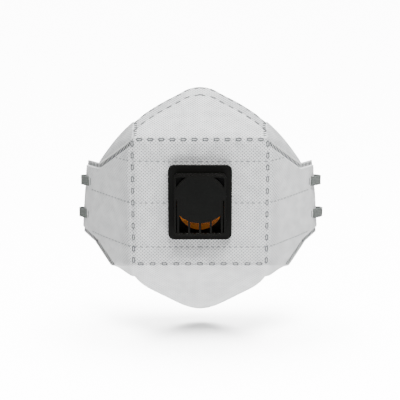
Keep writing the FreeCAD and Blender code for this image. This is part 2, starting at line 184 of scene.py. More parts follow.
def chin_lean(across):
    """How far the cloth below the chin fold leans back: more on the gussets at its sides."""
    return CHIN_FOLD[1] + (CHIN_GUSSET_LEAN - CHIN_FOLD[1]) * smooth(HALF_WIDTH, LOWER_SEAM[1][0], across)


def on_centre(x, z, inset):
    across = np.abs(x)
    base = seam_height(LOWER_SEAM, across)
    kink = LOWER_SEAM[1][0]
    lean = np.maximum(chin_lean(across) * (1 - smooth(kink - 1, kink + 1, across)), 0.02)
    upper = past_fold(x, z - TOP, inset, NOSE_FOLD)
    lower = past_fold(x, base - z, inset, CHIN_FOLD, lean, base)
    return np.where((z > 0)[..., None], upper, lower)


def broken_line(line, share):
    """Points at given shares of the way along a broken line."""
    line = np.array(line)
    run = np.concatenate([[0], np.cumsum(np.hypot(*np.diff(line, axis=0).T))])
    return np.stack([np.interp(share, run / run[-1], line[:, i]) for i in (0, 1)], -1)


def corner_shares(line):
    run = np.concatenate([[0], np.cumsum(np.hypot(*np.diff(np.array(line), axis=0).T))])
    return list(run / run[-1])


def distance_to(line, x, z):
    best = np.full(np.shape(x), 1e9)
    for (x0, z0), (x1, z1) in zip(line, line[1:]):
        run_x, run_z = x1 - x0, z1 - z0
        share = np.clip(((x - x0) * run_x + (z - z0) * run_z) / (run_x ** 2 + run_z ** 2), 0, 1)
        best = np.minimum(best, np.hypot(x - x0 - share * run_x, z - z0 - share * run_z))
    return best


# ---------------------------------------------------------------- relief of the cloth
def dash_dent(along, across, first, last, count):
    """1 on the dashes of a row, 0 between them."""
    pitch = (last - first) / (count - 1)
    number = np.clip(np.round((along - first) / pitch), 0, count - 1)
    from_end = np.abs(along - first - number * pitch) - DASH_LENGTH / 2
    return (1 - smooth(-0.35, 0.35, from_end)) * (1 - smooth(-0.3, 0.4, np.abs(across) - DASH_WIDTH / 2))


def rectangle_relief(x, z):
    """(dash dents, valley) of the welded rectangle."""
    across = np.abs(x)
    level = np.minimum(np.abs(z - ROW_TOP), np.abs(z - ROW_BOTTOM))
    upright = np.abs(length_at(across) - length_at(np.array(HALF_WIDTH)))
    in_level, in_upright = across < HALF_WIDTH + 1, (z < TOP) & (z > BOTTOM)
    valley = np.maximum(np.exp(-(level / VALLEY_WIDTH) ** 2) * in_level,
                        np.exp(-(upright / VALLEY_WIDTH) ** 2) * in_upright)
    row = np.where(z > 0, z - ROW_TOP, z - ROW_BOTTOM)
    dent = np.maximum(dash_dent(x, row, -ROW_SPAN, ROW_SPAN, DASHES) * in_level,
                      dash_dent(z, upright, COLUMN_LOW, COLUMN_HIGH, DASHES) * in_upright)
    return dent, valley


def dotted_relief(x, z):
    rise = DOTTED_RISE * np.maximum(np.abs(x) - HALF_WIDTH, 0)
    gap = np.min([np.abs(z - line - rise) for line in DOTTED_LINES], axis=0)
    return np.exp(-(gap / 1.1) ** 2)


def edge_gap(across, z):
    """Distance to the nearest welded edge: the upper seam, the wing's two edges or the lower seam."""
    rim, foot = [UPPER_SEAM[0], UPPER_SEAM[1], WING_TOP], [WING_BOTTOM, LOWER_SEAM[2], LOWER_SEAM[1]]
    return np.minimum(distance_to(rim, across, z), distance_to(foot, across, z))


def flange_share(x, z):
    """1 on the welded margin outside the seams and round the wings, 0 inside it."""
    across = np.abs(x)
    margin = 1 - smooth(FLANGE - 0.35, FLANGE + 0.55, edge_gap(across, z))
    return margin * smooth(HALF_WIDTH + 0.5, HALF_WIDTH + 2.5, across)


def softness(x, z, phase):
    """Slow unevenness of a web that is held only along its welds, from -1 to 1."""
    return (0.5 * np.sin(x / 7.3 + z / 11.0 + phase) + 0.3 * np.sin(z / 5.9 - x / 17.0 + 2.1 * phase)
            + 0.2 * np.sin(x / 4.1 - z / 6.7 + 0.7 * phase))


def centre_relief(x, z):
    """How far the front of the centre panel lies behind its plain shape."""
    dent, valley = rectangle_relief(x, z)
    beside_valve = np.maximum(np.abs(x) - VALVE_HALF_WIDTH, np.maximum(z - VALVE_TOP, VALVE_BOTTOM - z))
    loose = smooth(0.5, 7.0, beside_valve) * (1 - flange_share(x, z))
    loose = loose * smooth(0, 6, z - seam_height(LOWER_SEAM, np.abs(x)))
    puff = 0.34 * (1 - valley) + 0.16 * (1 - dotted_relief(x, z)) + 0.22 * softness(x, z, 0.4)
    return DENT_DEPTH * dent + VALLEY_DEPTH * valley - loose * puff


def nose_relief(x, reach):
    to_edge = nose_edge(x) - reach
    gap = to_edge * sin(NOSE_EDGE_SLOPE)
    seam = np.exp(-((gap - BAND) / 0.8) ** 2) + np.exp(-((gap - 0.7) / 0.5) ** 2)
    body = smooth(BAND + 0.5, BAND + 6, gap) * smooth(1.0, 8.0, reach)
    body = body * smooth(0, 5, NOSE_WIDTH - np.abs(x))
    return 0.16 * seam - body * (0.40 + 0.35 * softness(x, reach, 1.9))


def chin_relief(x, reach):
    edge = chin_edge(x) - reach
    body = smooth(0.5, 9.0, edge) * smooth(1.0, 9.0, reach)
    rim = np.exp(-((edge - 1.6) / 0.9) ** 2)
    return 0.12 * rim - body * (0.45 + 0.45 * softness(x, reach, 3.3))


# ---------------------------------------------------------------- free edges of the folded panels
def nose_edge(x):
    """Fold to free edge along the nose panel."""
    centre = NOSE_PEAK - NOSE_TIP_RADIUS
    touch = NOSE_TIP_RADIUS * cos(NOSE_EDGE_SLOPE)
    touch_reach = centre + NOSE_TIP_RADIUS * sin(NOSE_EDGE_SLOPE)
    across = np.abs(x)
    side = NOSE_CREASE + (NOSE_WIDTH - across) * (touch_reach - NOSE_CREASE) / (NOSE_WIDTH - touch)
    side = side + NOSE_BOW * np.sin(pi * smooth(touch, NOSE_WIDTH, across))
    side = side - NOSE_SHOULDER * smooth(NOSE_WIDTH - 7, NOSE_WIDTH, across)
    return np.where(across < touch, centre + np.sqrt(np.maximum(NOSE_TIP_RADIUS ** 2 - x * x, 0)), side)


chin_curve = np.polyfit([x * x for x, _ in CHIN_EDGE], [reach for _, reach in CHIN_EDGE], 3)


def chin_edge(x):
    """Fold or seam to free edge along the chin panel and its gussets."""
    across = np.abs(x)
    share = (across - HALF_WIDTH) / (LOWER_SEAM[2][0] - HALF_WIDTH)
    gusset = CHIN_CREASE + (CHIN_GUSSET_END - CHIN_CREASE) * share
    return np.where(across <= HALF_WIDTH, np.polyval(chin_curve, across * across), gusset)


# ---------------------------------------------------------------- meshes
def linear(code):
    """An sRGB hex colour as the linear values that shaders take."""
    parts = [int(code[i:i + 2], 16) / 255 for i in (1, 3, 5)]
    return tuple(c / 12.92 if c <= 0.04045 else ((c + 0.055) / 1.055) ** 2.4 for c in parts) + (1.0,)


def stand(name, data):
    """A new object in the scene, at the origin."""
    obj = bpy.data.objects.new(name, data)
    bpy.context.scene.collection.objects.link(obj)
    return obj


def as_made(obj):
    """The mesh that an object's modifiers make."""
    bpy.context.view_layer.update()
    return bpy.data.meshes.new_from_object(obj.evaluated_get(bpy.context.evaluated_depsgraph_get()))


def make_object(name, verts, faces, finishes, finish_of_face=None, uv=None, sharp=40.0, attributes=None):
    """A mesh object at the origin, from points in millimetres."""
    mesh = bpy.data.meshes.new(name)
    mesh.from_pydata((np.asarray(verts) * MM).tolist(), [], [list(f) for f in faces])
    for material in finishes:
        mesh.materials.append(material)
    if finish_of_face is not None:
        mesh.polygons.foreach_set("material_index", np.asarray(finish_of_face, np.int32))
    if uv is not None:
        loops = np.empty(len(mesh.loops), np.int32)
        mesh.loops.foreach_get("vertex_index", loops)
        layer = mesh.uv_layers.new(name="cloth")
        layer.data.foreach_set("uv", np.asarray(uv, np.float32)[loops].ravel())
    for key, values in (attributes or {}).items():
        mesh.attributes.new(key, "FLOAT", "POINT").data.foreach_set("value", np.asarray(values, np.float32))
    mesh.shade_smooth()
    mesh.set_sharp_from_angle(angle=radians(sharp))
    mesh.update()
    return stand(name, mesh)


def signed_volume(verts, quads):
    a, b, c, d = (verts[quads[:, i]] for i in range(4))
    return (np.einsum("ij,ij->i", a, np.cross(b, c)) + np.einsum("ij,ij->i", a, np.cross(c, d))).sum()


def web(name, front, back, flat, finishes, keep=None, attributes=None):
    """A closed sheet of cloth between two grids of points. flat gives each point's place when laid flat."""
    rows, cols = front.shape[:2]
    index = np.arange(rows * cols).reshape(rows, cols)
    quads = np.stack([index[:-1, :-1], index[:-1, 1:], index[1:, 1:], index[1:, :-1]], -1).reshape(-1, 4)
    if keep is not None:
        quads = quads[keep.ravel()]
    edges = quads[:, [[0, 1], [1, 2], [2, 3], [3, 0]]].reshape(-1, 2)
    _, first, count = np.unique(np.sort(edges, 1), axis=0, return_index=True, return_counts=True)
    rim = edges[first[count == 1]]
    size = rows * cols
    wall = np.stack([rim[:, 1], rim[:, 0], rim[:, 0] + size, rim[:, 1] + size], 1)
    faces = np.concatenate([quads, quads[:, ::-1] + size, wall])
    verts = np.concatenate([front.reshape(-1, 3), back.reshape(-1, 3)])
    used, faces = np.unique(faces, return_inverse=True)
    faces = faces.reshape(-1, 4)
    verts = verts[used]
    if signed_volume(verts, faces) < 0:
        faces = faces[:, ::-1]
    sides = np.repeat([0, len(finishes) - 1, len(finishes) // 2], [len(quads), len(quads), len(wall)])
    uv = np.concatenate([flat.reshape(-1, 2)] * 2)[used] * MM + 0.1
    both = {key: np.concatenate([value.ravel()] * 2)[used] for key, value in (attributes or {}).items()}
    return make_object(name, verts, faces, finishes, sides, uv, attributes=both)


# ---------------------------------------------------------------- materials
def set_inputs(tree, node, inputs):
    """Inputs are (socket, value) pairs, where a value may be an output, or a node for its first output."""
    for socket, value in inputs:
        if isinstance(value, bpy.types.Node):
            value = value.outputs[0]
        if isinstance(value, bpy.types.NodeSocket):
            tree.links.new(value, node.inputs[socket])
        else:
            node.inputs[socket].default_value = value


def add(tree, kind, inputs=(), **settings):
    """Add a node with its settings and links."""
    made = tree.nodes.new(kind)
    for key, value in settings.items():
        setattr(made, key, value)
    set_inputs(tree, made, inputs)
    return made


def finish(name):
    """(material, tree, its surface shader)."""
    material = bpy.data.materials.new(name)
    material.use_nodes = True
    tree = material.node_tree
    return material, tree, tree.nodes["Principled BSDF"]


def ramp(tree, factor, low, high, dark, light):
    """Colours from dark to light as the factor goes from low to high."""
    share = add(tree, "ShaderNodeMapRange", [("Value", factor), ("From Min", low), ("From Max", high)])
    mix = add(tree, "ShaderNodeMix", [(0, share), (6, linear(dark)), (7, linear(light))],
              data_type="RGBA")
    return mix.outputs[2]


def nonwoven(name, dark, light, dot_depth, roughness, weight):
    """Spunbond or meltblown polypropylene: matt fibres laid at random, bonded at a grid of small points.
    To the eye it is soft and even, with clouds of thicker web and a faint sheen at grazing angles."""
    material, tree, shader = finish(name)
    cloth = add(tree, "ShaderNodeUVMap", uv_map="cloth")
    clouds = add(tree, "ShaderNodeTexNoise", [("Vector", cloth), ("Scale", 1 / (7 * MM)), ("Detail", 3.0)])
    # real fibres are 0.02 mm thick, too fine to show, so the tangle is drawn at 0.9 mm
    fibres = add(tree, "ShaderNodeTexNoise", [("Vector", cloth), ("Scale", 1 / (0.9 * MM)), ("Detail", 2.0),
                                              ("Distortion", 1.2)])
    # bonding points 2.29 mm apart in rows 1.08 mm apart, each row half a step from the next
    turns = (2 * pi / (2.286 * MM), 2 * pi / (2.169 * MM), 1.0)
    place = add(tree, "ShaderNodeMapping", [("Vector", cloth), ("Scale", turns)])
    angle = add(tree, "ShaderNodeSeparateXYZ", [(0, place)]).outputs
    across, along = (add(tree, "ShaderNodeMath", [(0, angle[i])], operation="COSINE") for i in (0, 1))
    grid = add(tree, "ShaderNodeMath", [(0, across), (1, along)], operation="MULTIPLY")
    point = add(tree, "ShaderNodeMapRange", [("Value", grid), ("From Min", 0.2), ("From Max", 0.6)])
    pressed, dimmed = (add(tree, "ShaderNodeAttribute", attribute_name=label).outputs["Fac"]
                       for label in ("pressed", "dimmed"))
    point = add(tree, "ShaderNodeMath", [(0, point), (1, pressed)], operation="MULTIPLY")
    tone = add(tree, "ShaderNodeMath", [(0, clouds), (1, 0.55)], operation="MULTIPLY")
    # dimmed darkens the colour: on the nose band it is the band's own darker tone, on the nose gussets
    # partly their tone and partly painted shade
    for part, share in ((fibres, 0.45), (point, -dot_depth), (dimmed, -0.24)):
        tone = add(tree, "ShaderNodeMath", [(0, part), (1, share), (2, tone)], operation="MULTIPLY_ADD")
    colour = ramp(tree, tone, -0.1, 0.62, dark, light)
    tangle = add(tree, "ShaderNodeMath", [(0, fibres), (1, 0.25)], operation="MULTIPLY")
    height = add(tree, "ShaderNodeMath", [(0, tangle), (1, point)], operation="SUBTRACT")
    bump = add(tree, "ShaderNodeBump", [("Strength", weight), ("Distance", 0.12 * MM), ("Height", height)])
    set_inputs(tree, shader, [("Base Color", colour), ("Roughness", roughness), ("Normal", bump),
                              ("Sheen Weight", 0.12), ("Sheen Roughness", 0.5),
                              ("Specular IOR Level", 0.25)])
    return material


def weld_film(name, dark, light, roughness):
    """Polypropylene web melted to a film by the welding wheel: smoother and slightly glossy. The dark grey
    one round the rectangle's dashes is painted shadow of the dents' walls.
    """
    material, tree, shader = finish(name)
    place = add(tree, "ShaderNodeTexCoord").outputs["Object"]
    grain = add(tree, "ShaderNodeTexNoise", [("Vector", place), ("Scale", 1 / (0.7 * MM)), ("Detail", 2.0)])
    bump = add(tree, "ShaderNodeBump", [("Strength", 0.4), ("Distance", 0.05 * MM), ("Height", grain)])
    set_inputs(tree, shader, [("Base Color", ramp(tree, grain, 0.3, 0.7, dark, light)),
                              ("Roughness", roughness), ("Normal", bump)])
    return material


def moulded(name, dark, light, roughness, texture, specular, ior=1.49):
    """Injection-moulded polypropylene with the fine spark texture of its tool."""
    material, tree, shader = finish(name)
    place = add(tree, "ShaderNodeTexCoord").outputs["Object"]
    spark = add(tree, "ShaderNodeTexNoise", [("Vector", place), ("Scale", 1 / (0.45 * MM)),
                                             ("Detail", 3.0)])
    flow = add(tree, "ShaderNodeTexNoise", [("Vector", place), ("Scale", 1 / (9 * MM)), ("Detail", 2.0)])
    rough = add(tree, "ShaderNodeMapRange", [("Value", flow), ("To Min", roughness - 0.06),
                                             ("To Max", roughness + 0.08)])
    bump = add(tree, "ShaderNodeBump", [("Strength", texture), ("Distance", 0.03 * MM),
                                        ("Height", spark)])
    set_inputs(tree, shader, [("Base Color", ramp(tree, spark, 0.3, 0.7, dark, light)),
                              ("Roughness", rough), ("Normal", bump), ("IOR", ior),
                              ("Specular IOR Level", specular)])
    return material


def elastic_webbing():
    """Braided polyester over elastane: ribs run along it, crossed by the plait of the yarns."""
    material, tree, shader = finish("braided_elastic")
    band = add(tree, "ShaderNodeUVMap", uv_map="cloth")
    # yarns cross every 0.9 mm along the band and lean one way on each rib, 1.08 mm wide
    turns = (pi / (1.08 * MM), 2 * pi / (0.9 * MM), 1.0)
    place = add(tree, "ShaderNodeMapping", [("Vector", band), ("Scale", turns)])
    angle = add(tree, "ShaderNodeSeparateXYZ", [(0, place)]).outputs
    rib = add(tree, "ShaderNodeMath", [(0, angle[0])], operation="SINE")
    rib = add(tree, "ShaderNodeMath", [(0, rib)], operation="ABSOLUTE")
    lean = add(tree, "ShaderNodeMath", [(0, rib), (1, 2.4), (2, angle[1])], operation="MULTIPLY_ADD")
    plait = add(tree, "ShaderNodeMath", [(0, lean)], operation="SINE")
    tone = add(tree, "ShaderNodeTexNoise", [("Vector", band), ("Scale", 1 / (0.8 * MM)), ("Detail", 3.0)])
    for part, share in ((plait, 0.16), (rib, 0.25)):
        tone = add(tree, "ShaderNodeMath", [(0, part), (1, share), (2, tone)], operation="MULTIPLY_ADD")
    bump = add(tree, "ShaderNodeBump", [("Strength", 0.6), ("Distance", 0.15 * MM), ("Height", tone)])
    set_inputs(tree, shader, [("Base Color", ramp(tree, tone, 0.25, 0.95, "#343836", "#666b68")),
                              ("Roughness", 0.85), ("Normal", bump), ("Sheen Weight", 0.2)])
    return material


def foam_finish():
    """Open-cell polyurethane foam: matt, full of small round pores."""
    material, tree, shader = finish("polyurethane_foam")
    place = add(tree, "ShaderNodeTexCoord").outputs["Object"]
    pores = add(tree, "ShaderNodeTexVoronoi", [("Vector", place), ("Scale", 1 / (0.8 * MM))])
    depth = pores.outputs["Distance"]
    bump = add(tree, "ShaderNodeBump", [("Strength", 0.7), ("Distance", 0.25 * MM), ("Height", depth)])
    set_inputs(tree, shader, [("Base Color", ramp(tree, depth, 0.05, 0.5, "#55585a", "#8f9394")),
                              ("Roughness", 0.95), ("Normal", bump)])
    return material


def brushed_aluminium():
    """Rolled aluminium strip: a dull metal with fine lines along the rolling direction."""
    material, tree, shader = finish("rolled_aluminium")
    place = add(tree, "ShaderNodeTexCoord").outputs["Object"]
    stretch = add(tree, "ShaderNodeMapping", [("Vector", place), ("Scale", (1.0, 12.0, 12.0))])
    lines = add(tree, "ShaderNodeTexNoise", [("Vector", stretch), ("Scale", 1 / (3 * MM))])
    rough = add(tree, "ShaderNodeMapRange", [("Value", lines), ("To Min", 0.32), ("To Max", 0.52)])
    colour = ramp(tree, lines, 0.3, 0.7, "#b9bcbe", "#d9dbdd")
    set_inputs(tree, shader, [("Base Color", colour), ("Metallic", 1.0), ("Roughness", rough)])
    return material


outer_cloth = nonwoven("spunbond_outer", "#919395", "#e8e9e9", 0.9, 0.78, 1.0)
filter_cloth = nonwoven("meltblown_filter", "#e0e0dd", "#f3f3f0", 0.05, 0.9, 0.3)
lining_cloth = nonwoven("spunbond_lining", "#dcdddc", "#f2f2f1", 0.25, 0.82, 0.5)
film = weld_film("weld_film", "#d4d6d6", "#e6e7e7", 0.45)
# dark grey: round the rectangle's dashes it is painted shadow of the dents' walls; on the slot tacks it is
# the marks' own colour
dark_weld_and_painted_shadow = weld_film("dark_weld_and_painted_shadow", "#4c4f51", "#626568", 0.6)
stitch_film = weld_film("pressed_stitch", "#7b7e80", "#8e9193", 0.6)
band_film = weld_film("pressed_band_dash", "#4a4c4d", "#606264", 0.7)
tooth_film = weld_film("pressed_tooth", "#3c3e3f", "#505354", 0.7)
black_cover = moulded("moulded_black_pp", "#0b0b0a", "#121211", 0.3, 0.35, 0.15)
black_seat = moulded("moulded_black_seat", "#0c0c0b", "#141412", 0.45, 0.4, 0.2)
silicone = moulded("orange_silicone", "#e07a14", "#ee8a1c", 0.38, 0.05, 0.4, ior=1.41)
elastic = elastic_webbing()
foam_grey = foam_finish()
aluminium = brushed_aluminium()


# ---------------------------------------------------------------- centre panel
def centre_grid(spacing):
    """Grid of (x, z) over the centre panel and its cheeks, from one wing to the other."""
    upper, lower = UPPER_SEAM + [WING_TOP], LOWER_SEAM + [WING_BOTTOM]
    corners = sorted(set(corner_shares(upper) + corner_shares(lower)))
    shares = [np.linspace(a, b, max(1, round((b - a) * SEAM_GRID_RUN / spacing)), endpoint=False)
              for a, b in zip(corners, corners[1:])]
    shares = np.concatenate(shares + [[1.0]])
    high, low = broken_line(upper, shares), broken_line(lower, shares)
    count = round(HALF_WIDTH / spacing)
    middle = np.linspace(0, HALF_WIDTH, count, endpoint=False)
    x_high = np.concatenate([middle, high[:, 0]])
    z_high = np.concatenate([np.full(count, TOP), high[:, 1]])
    x_low = np.concatenate([middle, low[:, 0]])
    z_low = np.concatenate([np.full(count, BOTTOM), low[:, 1]])
    v = np.linspace(0, 1, round((TOP - BOTTOM) / spacing) + 1)[:, None]
    x, z = x_high + (x_low - x_high) * v, z_high + (z_low - z_high) * v
    return np.concatenate([-x[:, :0:-1], x], 1), np.concatenate([z[:, :0:-1], z], 1)


def wing_rim(z):
    return WING_TOP[0] + (WING_BOTTOM[0] - WING_TOP[0]) * (WING_TOP[1] - z) / (WING_TOP[1] - WING_BOTTOM[1])


def open_holes(x, z):
    """Clear the valve's hole and the strap slots: moved points, and which cells stay."""
    radius = np.hypot(x, z - PORT_Z)
    inside = radius < HOLE_RADIUS
    grow = HOLE_RADIUS / np.maximum(radius, 0.1)
    new_x, new_z = np.where(inside, x * grow, x), np.where(inside, PORT_Z + (z - PORT_Z) * grow, z)
    across = np.abs(x)
    for height in STRAP_HEIGHTS.values():
        rim = wing_rim(height)
        middle = rim - SLOT_INSET * cos(turn_of(rim))
        half = SLOT_WIDTH / 2 * cos(turn_of(middle))
        a, b = (across - middle) / half, (z - height) / (SLOT_LENGTH / 2)
        norm = (np.abs(a) ** 6 + np.abs(b) ** 6) ** (1 / 6)
        slot = norm < 1
        push = 1 / np.maximum(norm, 0.05)
        new_x = np.where(slot, np.sign(x) * (middle + a * push * half), new_x)
        new_z = np.where(slot, height + b * push * SLOT_LENGTH / 2, new_z)
        inside |= slot
    gone = inside[:-1, :-1] & inside[:-1, 1:] & inside[1:, 1:] & inside[1:, :-1]
    return new_x, new_z, ~gone


def pinch(layer, relief, share):
    """The two faces of a web, drawn together where the laminate is welded."""
    front, back = WEBS[layer]
    flat_front, flat_back = PINCHED[layer]
    return front + relief + (flat_front - front - relief) * share, back + (flat_back - back) * share


def centre_web(layer, finish_of_web, spacing):
    x, z = centre_grid(spacing)
    x, z, keep = open_holes(x, z)
    share = flange_share(x, z)
    dent, valley = rectangle_relief(x, z)
    relief = centre_relief(x, z) if layer == "outer" else np.zeros_like(x)
    front, back = pinch(layer, relief, share)
    if layer == "lining":
        back = back - 0.15 * dent - 0.1 * valley
    flat = np.stack([np.sign(x) * length_at(np.abs(x)), z], -1)
    fade = 1 - 0.75 * smooth(HALF_WIDTH, HALF_WIDTH + 12, np.abs(x))
    pressed = fade * (1 - share)
    piece = web(f"centre_{layer}_web", on_centre(x, z, front), on_centre(x, z, back), flat, [finish_of_web],
                keep, {"pressed": pressed})
    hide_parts(f"centre_{layer}")
    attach(piece, "root")
    return piece


# ---------------------------------------------------------------- nose panel and its gussets
def nose_web(layer, finish_of_web, spacing):
    columns = np.linspace(-NOSE_WIDTH, NOSE_WIDTH, 2 * round(NOSE_WIDTH / spacing) + 1)
    v = np.linspace(0, 1, round(NOSE_PEAK / spacing) + 1)[:, None]
    x, reach = np.broadcast_arrays(columns, v * nose_edge(columns))
    relief = nose_relief(x, reach) if layer == "outer" else np.zeros_like(x)
    front, back = pinch(layer, relief, np.zeros_like(x))
    if layer == "filter":
        # the filter stops at the pocket of the nose clip
        reach = np.minimum(reach, nose_edge(x) - (BAND + 1.8) / sin(NOSE_EDGE_SLOPE))
        reach = np.maximum(reach, v * 2.0)
    flat = np.stack([x, reach], -1)
    band_share = 1 - smooth(BAND - 0.2, BAND + 0.6, (nose_edge(x) - reach) * sin(NOSE_EDGE_SLOPE))
    piece = web(f"nose_{layer}_web", past_fold(x, reach, front, NOSE_FOLD),
                past_fold(x, reach, back, NOSE_FOLD), flat, [finish_of_web], None,
                {"pressed": np.full(x.shape, 0.75), "dimmed": band_share * smooth(4, 20, np.abs(x))})
    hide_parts(f"nose_{layer}")
    blend_nose(piece)
    return piece


def blend_nose(piece):
    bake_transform(piece)


def nose_gusset(side, spacing=0.8):
    """The side of the nose panel: from the upper seam back to the sealing edge."""
    low, high = NOSE_WIDTH - 0.5, UPPER_SEAM[1][0] - 0.3
    columns = np.linspace(low, high, round((high - low) / spacing) + 1)
    share = np.clip((columns - NOSE_WIDTH) / (high - NOSE_WIDTH), 0, 1)
    start = NOSE_CREASE - NOSE_SHOULDER
    edge = start + NOSE_GUSSET_SWELL * np.sin(pi * share) - (start - NOSE_GUSSET_END) * share ** 1.6
    v = np.linspace(0, 1, round(NOSE_CREASE / spacing) + 1)[:, None]
    across, reach = np.broadcast_arrays(columns, v * edge)
    lean = NOSE_FOLD[1]
    tuck = 0.65 * (1 - smooth(NOSE_WIDTH - 0.5, NOSE_WIDTH + 1.2, across))
    tuck = np.maximum(tuck, 0.75 * (1 - smooth(0.0, 2.5, reach)))
    puff = (0.5 * np.sin(pi * v) + 0.25 * softness(across, reach, 5.1)) * np.sin(pi * share)

    def face(inset):
        return points(side * across, depth_at(across) + reach * sin(lean) + inset * cos(lean),
                      seam_height(UPPER_SEAM, across) + reach * cos(lean) - inset * sin(lean))

    seam_run = np.hypot(length_at(across) - length_at(columns[:1]), TOP - seam_height(UPPER_SEAM, across))
    flat = np.stack([seam_run, reach], -1)
    word = "left" if side < 0 else "right"
    # the gussets' dimmed value is partly their warm grey tone and partly painted shade
    piece = web(f"{word}_nose_gusset_web", face(tuck - puff), face(tuck + LAMINATE - 0.4 - puff), flat,
                [outer_cloth, filter_cloth, lining_cloth], None,
                {"pressed": np.full(across.shape, 0.3), "dimmed": np.full(across.shape, 0.8)})
    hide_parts(f"{word}_nose_gusset")
    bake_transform(piece)
    return piece


# ---------------------------------------------------------------- chin panel with its gussets
def chin_place(x, reach, inset):
    across, kink = np.abs(x), LOWER_SEAM[1][0]
    tuck = 0.75 * (1 - smooth(0.0, 2.5, reach)) * smooth(kink - 1, kink + 2, across)
    return past_fold(x, reach, inset + tuck, CHIN_FOLD, chin_lean(across), seam_height(LOWER_SEAM, across))


def chin_web(layer, finish_of_web, spacing):
    end = LOWER_SEAM[2][0] - 0.3
    columns = np.linspace(-end, end, 2 * round(end / spacing) + 1)
    v = np.linspace(0, 1, round(CHIN_EDGE[0][1] / spacing) + 1)[:, None]
    x, reach = np.broadcast_arrays(columns, v * chin_edge(columns))
    relief = chin_relief(x, reach)
    front, back = WEBS[layer]
    lifted = np.where(np.abs(x) > HALF_WIDTH, relief * 0.3, relief)
    front = front + (lifted if layer == "outer" else lifted * 0.7)
    back = back + lifted * 0.7
    flat = np.stack([np.sign(x) * length_at(np.abs(x)), reach], -1)
    piece = web(f"chin_{layer}_web", chin_place(x, reach, front), chin_place(x, reach, back), flat,
                [finish_of_web], None, {"pressed": np.full(x.shape, 0.65)})
    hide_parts(f"chin_{layer}")
    if layer == "outer":
        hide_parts("left_chin_gusset", "right_chin_gusset")
    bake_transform(piece)
    return piece


for layer, cloth, spacing in (("outer", outer_cloth, FINE), ("filter", filter_cloth, COARSE),
                              ("lining", lining_cloth, 0.9)):
    centre_web(layer, cloth, spacing)
    nose_web(layer, cloth, spacing)
    chin_web(layer, cloth, spacing)
for side in (-1, 1):
    nose_gusset(side)


# ---------------------------------------------------------------- marks that repeat along a line
def marks_tree():
    """Pressed marks along lines on the cloth: each a film in a raised edge, turned to lie on the cloth."""
    tree = bpy.data.node_groups.new("marks_along_lines", "GeometryNodeTree")
    socket = tree.interface.new_socket
    socket("Lines", in_out="INPUT", socket_type="NodeSocketGeometry")
    for label in ("Pitch", "Length", "Width", "Corner", "Edge", "Film"):
        socket(label, in_out="INPUT", socket_type="NodeSocketFloat")
    for label in ("Edge Finish", "Film Finish"):
        socket(label, in_out="INPUT", socket_type="NodeSocketMaterial")
    socket("Marks", in_out="OUTPUT", socket_type="NodeSocketGeometry")
    given = add(tree, "NodeGroupInput").outputs
    line = add(tree, "GeometryNodeMeshToCurve", [("Mesh", given["Lines"])])
    spaced = add(tree, "GeometryNodeResampleCurve", [("Curve", line), ("Length", given["Pitch"])],
                 mode="LENGTH")
    outward = add(tree, "GeometryNodeInputNamedAttribute", [("Name", "outward")],
                  data_type="FLOAT_VECTOR")
    tangent = add(tree, "GeometryNodeInputTangent")
    turned = add(tree, "FunctionNodeAxesToRotation", [(0, outward), (1, tangent)],
                 primary_axis="Z", secondary_axis="X")
    shape = add(tree, "GeometryNodeCurvePrimitiveQuadrilateral", [("Width", given["Length"]),
                                                                  ("Height", given["Width"])])
    outline = add(tree, "GeometryNodeFilletCurve", [("Curve", shape), ("Radius", given["Corner"]),
                                                    ("Count", 3)], mode="POLY")
    bead = add(tree, "GeometryNodeCurvePrimitiveCircle", [("Resolution", 6), ("Radius", given["Edge"])],
               mode="RADIUS")
    ring = add(tree, "GeometryNodeCurveToMesh", [("Curve", outline), ("Profile Curve", bead)])
    film_height = add(tree, "ShaderNodeCombineXYZ", [("Z", given["Film"])])
    below, above = (add(tree, "ShaderNodeVectorMath", [(0, film_height), ("Scale", share)],
                        operation="SCALE") for share in (-1.0, 0.25))
    axis = add(tree, "GeometryNodeCurvePrimitiveLine", [("Start", below), ("End", above)])
    pad = add(tree, "GeometryNodeCurveToMesh", [("Curve", axis), ("Profile Curve", outline),
                                                ("Fill Caps", True)])
    # a mark has two finishes, so each part takes its own before they are joined
    ring, pad = (add(tree, "GeometryNodeSetMaterial", [("Geometry", part), ("Material", given[label])])
                 for part, label in ((ring, "Edge Finish"), (pad, "Film Finish")))
    mark = add(tree, "GeometryNodeJoinGeometry", [(0, pad), (0, ring)])
    placed = add(tree, "GeometryNodeInstanceOnPoints", [("Points", spaced), ("Instance", mark),
                                                        ("Rotation", turned)])
    solid = add(tree, "GeometryNodeRealizeInstances", [(0, placed)])
    add(tree, "NodeGroupOutput", [(0, solid)])
    return tree


def carry_out(obj, tree, values):
    """Give an object the tree with its inputs, and turn the result into a plain mesh."""
    sockets = {item.name: item.identifier for item in tree.interface.items_tree
               if item.item_type == "SOCKET" and item.in_out == "INPUT"}
    modifier = obj.modifiers.new("made", "NODES")
    modifier.node_group = tree
    for label, value in values.items():
        modifier[sockets[label]] = value
    mesh = as_made(obj)
    obj.modifiers.remove(modifier)
    obj.data = mesh
    return obj


def lines_object(name, lines):
    """Lines on the cloth as loose edges, each from a pair (points, outward directions)."""
    verts = np.concatenate([p for p, _ in lines])
    outward = np.concatenate([n for _, n in lines])
    edges, start = [], 0
    for p, _ in lines:
        edges += [(start + i, start + i + 1) for i in range(len(p) - 1)]
        start += len(p)
    mesh = bpy.data.meshes.new(name)
    mesh.from_pydata((verts * MM).tolist(), edges, [])
    mesh.attributes.new("outward", "FLOAT_VECTOR", "POINT").data.foreach_set("vector", outward.ravel())
    return stand(name, mesh)


def on_cloth(place, first, second, inset):
    """A line on the cloth and its outward directions, by a function from coordinates and inset."""
    p = place(first, second, inset)
    outward = p - place(first, second, inset + 0.5)
    return p, outward / np.linalg.norm(outward, axis=-1, keepdims=True)


def marks(name, lines, values):
    piece = carry_out(lines_object(name, lines), tree_of_marks, values)
    piece.data.shade_smooth()
    piece.data.set_sharp_from_angle(angle=radians(50))
    return piece


